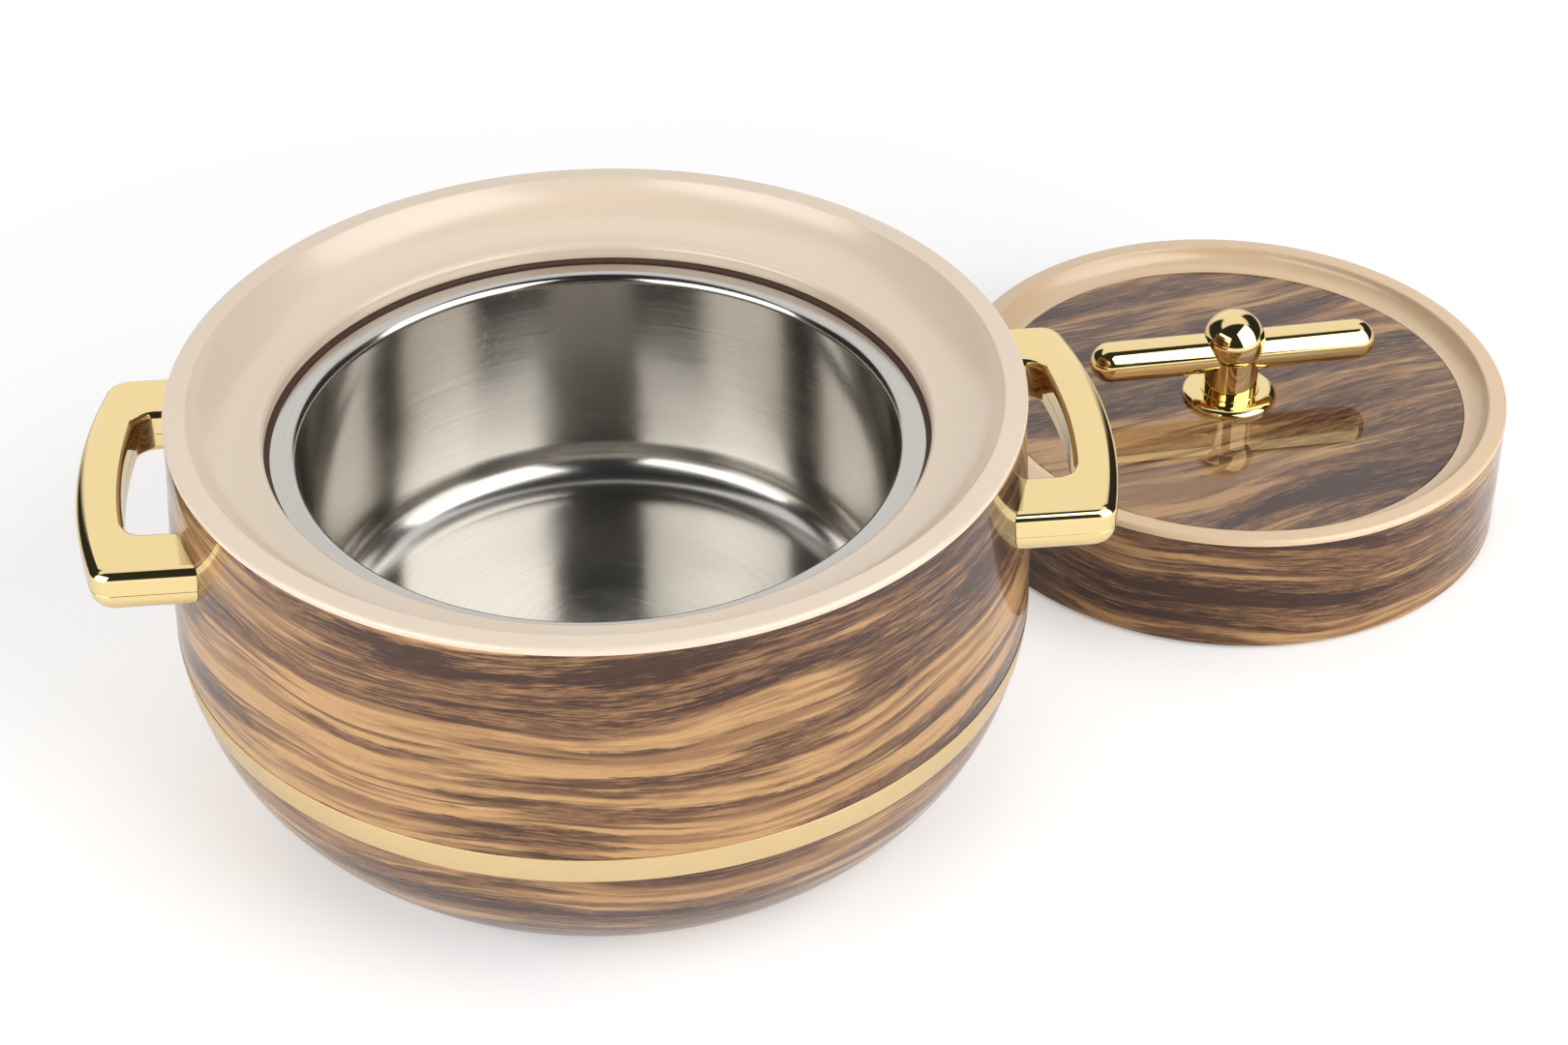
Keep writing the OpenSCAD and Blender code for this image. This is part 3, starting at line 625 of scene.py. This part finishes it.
def handle_half(name, side, low, high, low_round, high_round, low_gap, high_gap):
    """One moulding of a handle, as rings of points stacked from its lower to its upper face."""
    quarter = [math.radians(a) for a in spaced(0, 90, 12)]
    levels = sorted({round(z, 7) for z in
                     [low + low_round * (1 - math.cos(a)) for a in quarter]
                     + [high - high_round * (1 - math.sin(a)) for a in quarter]
                     + [low + low_gap * share for share in gap_levels]
                     + [high - high_gap * share for share in gap_levels]})
    bm = bmesh.new()
    rows = []
    for z in levels:
        outer_inset = eased(z, low, high, low_round, high_round)
        gap_inset = eased(z, low, high, low_gap, high_gap)
        beveled = z > high - high_round
        face_inset = outer_inset * (face_spread if beveled else 1)
        corner_inset = outer_inset * (corner_spread if beveled else corner_share)
        outer = handle_side(grip_face_r - face_inset, handle_half_w - outer_inset,
                            max(handle_corner_r - corner_inset, corner_least), z)
        inner = handle_side(grip_face_r - grip_w + gap_inset, gap_half_w + gap_inset,
                            gap_corner_r + gap_inset, z)
        rows.append(([bm.verts.new((side * x, side * y, z)) for x, y in outer],
                     [bm.verts.new((side * x, side * y, z)) for x, y in inner]))
    for (outer, inner), (outer_up, inner_up) in zip(rows, rows[1:]):
        for i in range(len(outer) - 1):
            bm.faces.new((outer[i + 1], outer[i], outer_up[i], outer_up[i + 1]))
            bm.faces.new((inner[i], inner[i + 1], inner_up[i + 1], inner_up[i]))
        bm.faces.new((outer[0], inner[0], inner_up[0], outer_up[0]))
        bm.faces.new((inner[-1], outer[-1], outer_up[-1], inner_up[-1]))
    for i in range(len(rows[0][0]) - 1):
        outer, inner = rows[0]
        bm.faces.new((outer[i], outer[i + 1], inner[i + 1], inner[i]))
        outer, inner = rows[-1]
        bm.faces.new((outer[i + 1], outer[i], inner[i], inner[i + 1]))
    return surfaced(name, bm, sharp=25)


gold_plate = gold_finish("gold_plate", srgb(244, 219, 160), 0.03, 0.03)
for side, word in ((1, "right"), (-1, "left")):
    for half, low, high, rounds in (
            ("upper", parting_z, handle_top_z,
             (parting_edge, top_bevel, parting_edge, gap_edge)),
            ("lower", handle_bottom_z, parting_z,
             (under_round, parting_edge, gap_edge, parting_edge))):
        piece = handle_half(f"handle_{half}_{word}_plated", side, low, high, *rounds)
        piece.data.materials.append(gold_plate)
        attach(piece, "pot")
        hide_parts(f"handle_{half}_{word}")

# ---- Foam, base cover, plug and handle screws -----------------------------------------
# The foam is poured in through the hole that the plug closes. The base cover is a flat
# moulding held in the foot by four screws, and two screws with washers hold each handle.
def cells_of(tree, scale):
    """A pattern of cells, so many a metre, as the distance from their middles."""
    return add(tree, "ShaderNodeTexVoronoi",
               {"Vector": object_place(tree), "Scale": scale}).outputs["Distance"]


def rigid_foam(name):
    """Poured foam: small closed cells under a thin skin."""
    material, tree, shader = finish_of(name, Specular_IOR_Level=0.2)
    cells = cells_of(tree, 900)
    feed(tree, shader, Base_Color=layer(tree, cells, srgb(226, 214, 168), srgb(244, 236, 200)),
         Roughness=remap(tree, cells, 0, 0.7, 0.75, 0.95))
    bumped(tree, shader, cells, 0.15 * mm)
    return material


def zinc_steel(name):
    """Bright zinc plating with a slightly cloudy, spangled surface."""
    material, tree, shader = finish_of(name, Metallic=1.0)
    spangle = cells_of(tree, 700)
    feed(tree, shader, Base_Color=layer(tree, spangle, srgb(196, 198, 202), srgb(226, 226, 224)),
         Roughness=remap(tree, spangle, 0, 0.6, 0.22, 0.4))
    bumped(tree, shader, spangle, 0.02 * mm)
    return material


def dress(node, material):
    """Gives a CAD node its material."""
    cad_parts[node].data.materials.clear()
    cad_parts[node].data.materials.append(material)


foam = rigid_foam("rigid_foam")
zinc = zinc_steel("zinc_plated_steel")
dress("body_foam", foam)
dress("base_cover", moulded_plastic("base_plastic", srgb(206, 184, 156), 0.5))
dress("fill_plug", dark_silicone)
for node in ("handle_screws_right", "handle_screws_left",
             "handle_washers_right", "handle_washers_left"):
    dress(node, zinc)

# ---- Base screws ----------------------------------------------------------------------
# Four zinc-plated pan-head screws with cross recesses, driven from below through the cover.
# One is modelled head down, and a node group sets all four out in a ring, each at its own turn.
screw_r, screw_l = 1.48 * mm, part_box("base_screws")[1].z
tip_l, tip_share = 0.6 * mm, 0.6
head_r, head_low, head_high, head_edge = 2.95 * mm, 0.25 * mm, 2 * mm, 0.1 * mm
face_r, head_fall = 1.9 * mm, 1 * mm
recess_mouth, recess_floor = (1.5 * mm, 0.45 * mm), (0.8 * mm, 0.32 * mm)
recess_depth, recess_point = 1.1 * mm, 1.2 * mm
screw_ring = cover_r - ledge_w / 2
screw_count, first_turn, screw_seed = 4, math.radians(45), 7


def cross_reach(angle, arm, half_w):
    """How far the outline of a cross lies from its centre in one direction."""
    c, s = max(1e-6, abs(math.cos(angle))), max(1e-6, abs(math.sin(angle)))
    return max(min(arm / c, half_w / s), min(half_w / c, arm / s))


def cross_screw(name):
    """A screw on the upright axis, head down, as rings from the bottom of its recess to its tip."""
    bm = bmesh.new()
    angles = spaced(0, 2 * math.pi, 96)[:-1]
    recess = [([cross_reach(a, arm, half_w) for a in angles], z) for (arm, half_w), z in (
        (recess_floor, head_low + recess_depth), (recess_mouth, head_low))]
    fall = [(face_r + (head_r - face_r) * math.sin(math.radians(a)),
             head_low + head_fall * (1 - math.cos(math.radians(a)))) for a in spaced(0, 90, 8)]
    outline = fall + [
        (head_r, head_high - head_edge), (head_r - head_edge, head_high), (screw_r, head_high),
        (screw_r, screw_l - tip_l), (screw_r * tip_share, screw_l)]
    rings = [[bm.verts.new((0, 0, head_low + recess_point))] * len(angles)]
    for reach, z in recess + [([r] * len(angles), z) for r, z in outline]:
        rings.append([bm.verts.new((r * math.cos(a), r * math.sin(a), z))
                      for r, a in zip(reach, angles)])
    rings.append([bm.verts.new((0, 0, screw_l))] * len(angles))
    bridged(bm, rings)
    return surfaced(name, bm)


ring_nodes = bpy.data.node_groups.new("screw_ring", "GeometryNodeTree")
identifiers = {}
for label, kind in (("Geometry", "Geometry"), ("Count", "Int"), ("Ring Radius", "Float"),
                    ("First Turn", "Float"), ("Seed", "Int"), ("Material", "Material")):
    identifiers[label] = ring_nodes.interface.new_socket(
        label, in_out="INPUT", socket_type="NodeSocket" + kind).identifier
ring_nodes.interface.new_socket("Geometry", in_out="OUTPUT", socket_type="NodeSocketGeometry")
into = ring_nodes.nodes.new("NodeGroupInput").outputs
out = ring_nodes.nodes.new("NodeGroupOutput").inputs
circle = add(ring_nodes, "GeometryNodeMeshCircle",
             {"Vertices": into["Count"], "Radius": into["Ring Radius"]}).outputs["Mesh"]
places = add(ring_nodes, "GeometryNodeTransform", {
    "Geometry": circle, "Rotation": combined(ring_nodes, Z=into["First Turn"])}).outputs[0]
spin = add(ring_nodes, "FunctionNodeRandomValue", {2: 0.0, 3: math.pi / 2, "Seed": into["Seed"]},
           data_type="FLOAT").outputs[1]
copies = add(ring_nodes, "GeometryNodeInstanceOnPoints", {
    "Points": places, "Instance": into["Geometry"],
    "Rotation": combined(ring_nodes, Z=spin)}).outputs[0]
joined = add(ring_nodes, "GeometryNodeRealizeInstances", {"Geometry": copies}).outputs[0]
plated = add(ring_nodes, "GeometryNodeSetMaterial",
             {"Geometry": joined, "Material": into["Material"]}).outputs[0]
ring_nodes.links.new(plated, out["Geometry"])

base_screws = cross_screw("base_screws_driven")
setting_out = base_screws.modifiers.new("setting_out", "NODES")
setting_out.node_group = ring_nodes
for label, value in (("Count", screw_count), ("Ring Radius", screw_ring),
                     ("First Turn", first_turn), ("Seed", screw_seed), ("Material", zinc)):
    setting_out[identifiers[label]] = value
settle(base_screws)
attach(base_screws, "pot")
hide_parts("base_screws")

# ---- Lid: shell, rim and disc ---------------------------------------------------------
# A flat drum in the same print and cream plastic. The rim drops into the printed wall, and
# the printed, lacquered disc lies in the rim behind a shallow cove.
lid_low, lid_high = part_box("lid_shell")
lid_centre = ((lid_low.x + lid_high.x) / 2, (lid_low.y + lid_high.y) / 2)
lid_r = lid_high.x - lid_centre[0]
lid_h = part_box("lid_rim")[1].z
lid_lip_z = lid_high.z
lid_wall, lid_flange_w, lid_flange_t = 2.4 * mm, 6.6 * mm, 2 * mm
lid_in_r = lid_r - lid_wall
lid_flange_r, drop_in_r = lid_in_r - lid_flange_w, lid_in_r - fit_gap
seal_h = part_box("lid_seal")[1].z
foot_gap, straight_from, straight_clear = 0.9 * mm, 2.6 * mm, 1 * mm
liner_z = seal_h + lid_flange_t
lid_shell = turned("lid_shell_printed", rounded(
    [(lid_in_r, foot_gap, fine_edge), (lid_r, foot_gap, foot_round)]
    + [(lid_r, z) for z in spaced(straight_from, lid_lip_z - straight_clear, 24)]
    + [(lid_r, lid_lip_z, lip_round), (lid_in_r, lid_lip_z), (lid_in_r, liner_z),
       (lid_flange_r, liner_z), (lid_flange_r, seal_h), (lid_in_r, seal_h)]), lid_centre)
lid_shell.data.materials.append(round_print("wood_print_round_lid", lid_centre, lid_r))
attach(lid_shell, "lid")
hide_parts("lid_shell")

disc_low, disc_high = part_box("lid_disc")
disc_r = disc_high.x - lid_centre[0] + fit_gap
disc_z, disc_under_z = disc_high.z, disc_low.z
lid_land_w, lid_land_edge, disc_ledge_w = 6 * mm, 0.9 * mm, 6 * mm
rim_under_z = disc_under_z - collar_wall
cove_run, cove_drop = lid_r - lid_land_w - disc_r, lid_h - disc_z
cove_bend = (cove_run ** 2 + cove_drop ** 2) / (2 * cove_drop)
cove_end = math.degrees(math.asin(min(1, cove_run / cove_bend)))
lid_cove = arc(disc_r, disc_z + cove_bend, cove_bend, -90 + cove_end, -90, 24)
lid_rim = turned("lid_rim_moulded", rounded(
    [(lid_r, lid_lip_z, fine_edge), (lid_r, lid_h, edge_round),
     (lid_cove[0][0], lid_h, lid_land_edge)]
    + lid_cove[4:-1]
    + [(disc_r, disc_z, fine_edge), (disc_r, disc_under_z), (disc_r - disc_ledge_w, disc_under_z),
       (disc_r - disc_ledge_w, rim_under_z), (disc_r + collar_wall, rim_under_z),
       (drop_in_r, disc_z), (drop_in_r, lid_lip_z)], steps=8), lid_centre)
# The rim is the collar's cream plastic. Its darker, more orange tone is painted shade and a painted
# warm reflection of the brown disc in the cove.
lid_rim.data.materials.append(moulded_plastic("cream_plastic_lid", srgb(230, 200, 163), 0.24))
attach(lid_rim, "lid")
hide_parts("lid_rim")

# The disc's grain runs straight across it, a little to the handles' line, and is coarser.
disc_turn, disc_grain, disc_edge = math.radians(10), 0.65, 0.25 * mm
lid_disc = turned("lid_disc_printed", rounded(
    [(0, disc_under_z), (disc_r - fit_gap, disc_under_z), (disc_r - fit_gap, disc_z, disc_edge)]
    + [(disc_r * share, disc_z) for share in (0.66, 0.33, 0)]), lid_centre)
material, tree, shader = finish_of("wood_print_flat", Specular_IOR_Level=0.1, Coat_Weight=1.0,
                                   Coat_Roughness=0.015, Coat_IOR=1.55)
turned_place = add(tree, "ShaderNodeMapping", {
    "Vector": object_place(tree, lid_centre), "Rotation": (0, 0, -disc_turn),
    "Scale": (1, disc_grain, 1)}).outputs[0]
split = add(tree, "ShaderNodeSeparateXYZ", {0: turned_place}).outputs
printed(tree, shader, combined(tree, X=split["X"], Z=split["Y"]))
lid_disc.data.materials.append(material)
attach(lid_disc, "lid")
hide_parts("lid_disc")

# ---- Lid: foam, liner and seal --------------------------------------------------------
# Under the disc lie a foam puck, a pressed steel liner and the silicone ring that the lid
# stands on and seals the bowl with.
liner_step, liner_round = 1.4 * mm, 1 * mm
pan_z, step_r = liner_z - liner_step, lid_flange_r - 2 * fit_gap
liner_corners = [(step_r - 2 * liner_step, pan_z, liner_round), (step_r, liner_z, liner_round)]
lid_liner = turned("lid_liner_pressed", rounded(
    [(0, pan_z)] + liner_corners + [(drop_in_r, liner_z), (drop_in_r, liner_z + steel_t)]
    + [(r, z + steel_t, edge) for r, z, edge in liner_corners[::-1]] + [(0, pan_z + steel_t)]),
    lid_centre)
lid_liner.data.materials.append(brushed_steel("brushed_steel_liner", lid_centre))
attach(lid_liner, "lid")
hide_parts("lid_liner")

seal_w, seal_foot_round, seal_round = 5 * mm, 0.6 * mm, 0.3 * mm
seal_in_r = drop_in_r - seal_w
seal_groove = [(drop_in_r - seal_w * share, z, edge) for share, z, edge in (
    (0.62, 0, 0.2 * mm), (0.5, 0.7 * mm, 0.3 * mm), (0.38, 0, 0.2 * mm))]
lid_seal = turned("lid_seal_ring", rounded(
    [(seal_in_r, 0, seal_foot_round)] + seal_groove + [(drop_in_r, 0, seal_foot_round),
     (drop_in_r, seal_h, seal_round), (seal_in_r, seal_h, seal_round)]), lid_centre)
lid_seal.data.materials.append(dark_silicone)
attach(lid_seal, "lid")
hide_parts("lid_seal")

dress("lid_foam", foam)
dress("knob_bolt", zinc)
dress("knob_washer", zinc)

# ---- Knob -----------------------------------------------------------------------------
# Gold-plated metal in three pieces: a flange, a post with a ball top, and a crossbar pushed
# through the post. A bolt from below clamps them to the disc.
flange_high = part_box("knob_flange")[1]
knob_r, knob_z = flange_high.x - lid_centre[0], flange_high.z
post_r, ball_r = 9 * mm, 10.4 * mm
ball_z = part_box("knob_post")[1].z - ball_r
bolt_r, hole_gap = 2.5 * mm, 0.2 * mm
flange_fall_w, flange_fall_h, flange_edge = 3.8 * mm, 2 * mm, 0.25 * mm
foot_w, foot_h, foot_edge = 0.7 * mm, 0.3 * mm, 0.15 * mm
neck_clear = 0.2 * mm
flange_fall = [(knob_r - flange_fall_w * (1 - math.cos(math.radians(a))),
                knob_z - foot_h - flange_fall_h * (1 - math.sin(math.radians(a))))
               for a in spaced(0, 90, 16)]
knob_flange = turned("knob_flange_plated", rounded(
    [(bolt_r + hole_gap, disc_z), (knob_r, disc_z, flange_edge)] + flange_fall
    + [(post_r + foot_w, knob_z - foot_h, foot_edge), (post_r + foot_w, knob_z, foot_edge),
       (bolt_r + hole_gap, knob_z)]), lid_centre, segments=192)
post_join = math.asin(math.sqrt(1 - (post_r / ball_r) ** 2))
knob_post = turned("knob_post_plated", (
    [(0, knob_z), (post_r, knob_z), (post_r, ball_z - neck_clear - ball_r * math.sin(post_join))]
    + arc(0, ball_z, ball_r, -math.degrees(post_join), 90, 48)[:-1] + [(0, ball_z + ball_r)]),
    lid_centre, segments=192)

bar_low, bar_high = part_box("knob_bar")
bar_r, bar_l = (bar_high.z - bar_low.z) / 2, 98 * mm
bar_z = (bar_high.z + bar_low.z) / 2
bar_turn = math.radians(3.5)
bar_half = bar_l / 2 - bar_r
bar_outline = ([(0, -bar_l / 2)] + arc(0, -bar_half, bar_r, -90, 0, 20)[1:]
               + [(bar_r, z) for z in spaced(-bar_half, bar_half, 8)[1:-1]]
               + arc(0, bar_half, bar_r, 0, 90, 20)[:-1] + [(0, bar_l / 2)])
knob_bar = turned("knob_bar_plated", bar_outline, segments=128)
for vertex in knob_bar.data.vertices:
    x, y, z = vertex.co
    vertex.co = (lid_centre[0] + z * math.cos(bar_turn) - y * math.sin(bar_turn),
                 lid_centre[1] + z * math.sin(bar_turn) + y * math.cos(bar_turn), bar_z - x)
for piece in (knob_flange, knob_post, knob_bar):
    piece.data.materials.append(gold_plate)
    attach(piece, "lid")
    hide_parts(piece.name.replace("_plated", ""))

# ---- Floor, backdrop and lights -------------------------------------------------------
# A plain white table and two big soft boxes, left and right of the camera. The far wall and the
# ceiling behind the pot are pale, and the rest is dark, but the camera sees white all round.
floor_half, floor_z = 4, -0.2 * mm
glow_near, glow_far, glow_by_pot, glow_in_metal = 0.35, 0.7, 0.3, 0.12
floor_mesh = bpy.data.meshes.new("floor")
floor_mesh.from_pydata([(x * floor_half, y * floor_half, floor_z) for x, y in (
    (-1, -1), (1, -1), (1, 1), (-1, 1))], [], [(0, 1, 2, 3)])
floor = bpy.data.objects.new("floor", floor_mesh)
bpy.context.scene.collection.objects.link(floor)
material, tree, shader = finish_of("pale_floor", Base_Color=(0.85, 0.85, 0.85, 1), Roughness=0.9,
                                   Specular_IOR_Level=0.1, Emission_Color=(1, 1, 1, 1))
rays = add(tree, "ShaderNodeLightPath").outputs
mirrored = calc(tree, "MAXIMUM", rays["Is Glossy Ray"], rays["Is Transmission Ray"])
distance = add(tree, "ShaderNodeVectorMath", {0: object_place(tree)},
               operation="LENGTH").outputs["Value"]
glow = remap(tree, distance, glow_near, glow_far, glow_by_pot, 1, smooth=True)
seen = calc(tree, "MULTIPLY", rays["Is Camera Ray"], glow)
feed(tree, shader, Emission_Strength=calc(
    tree, "MAXIMUM", seen, calc(tree, "MULTIPLY", mirrored, glow_in_metal)))
floor.data.materials.append(material)
floor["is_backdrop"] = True
lit_middle = Vector((0.06, 0.03, 0.03))


def soft_box(name, azimuth, elevation, distance, width, height, watts):
    """A lamp that faces the pot, at a direction counted from the camera's side."""
    lamp = bpy.data.objects.new(name, bpy.data.lights.new(name, "AREA"))
    lamp.data.shape = "RECTANGLE"
    lamp.data.size, lamp.data.size_y = width, height
    lamp.data.energy = watts
    turn, tilt = math.radians(azimuth), math.radians(elevation)
    level = math.cos(tilt)
    away = Vector((math.sin(turn) * level, -math.cos(turn) * level, math.sin(tilt)))
    lamp.location = lit_middle + away * distance
    lamp.rotation_euler = away.to_track_quat("Z", "Y").to_euler()
    lamp.visible_camera = False
    bpy.context.scene.collection.objects.link(lamp)


soft_box("soft_box_left", azimuth=-54, elevation=21, distance=1.25, width=1.27, height=0.98,
         watts=13)
soft_box("soft_box_right", azimuth=53, elevation=31, distance=1.25, width=1.33, height=1.5,
         watts=18.4)

wall_edge, wall_full = math.cos(math.radians(36)), math.cos(math.radians(28))
ceiling_edge, ceiling_full = math.sin(math.radians(42)), math.sin(math.radians(50))
world = bpy.data.worlds.new("studio")
bpy.context.scene.world = world
world.use_nodes = True
tree = world.node_tree
direction = add(tree, "ShaderNodeTexCoord").outputs["Generated"]
split = add(tree, "ShaderNodeSeparateXYZ", {0: direction}).outputs
level = vector_calc(tree, "NORMALIZE", vector_calc(tree, "MULTIPLY", direction, (1, 1, 0)))
ahead = add(tree, "ShaderNodeSeparateXYZ", {0: level}).outputs["Y"]
far_wall = remap(tree, ahead, wall_edge, wall_full, smooth=True)
behind = remap(tree, split["Y"], -0.02, 0.10, smooth=True)
raised = remap(tree, split["Z"], ceiling_edge, ceiling_full, smooth=True)
below = remap(tree, split["Z"], 0.0, -0.02)
pale = calc(tree, "MAXIMUM", calc(tree, "MAXIMUM", far_wall, below),
            calc(tree, "MULTIPLY", behind, raised))
pale = calc(tree, "MAXIMUM", pale, add(tree, "ShaderNodeLightPath").outputs["Is Camera Ray"])
feed(tree, tree.nodes["Background"],
     Color=layer(tree, pale, (0.03, 0.03, 0.03, 1), (1, 1, 1, 1)))

low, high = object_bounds()
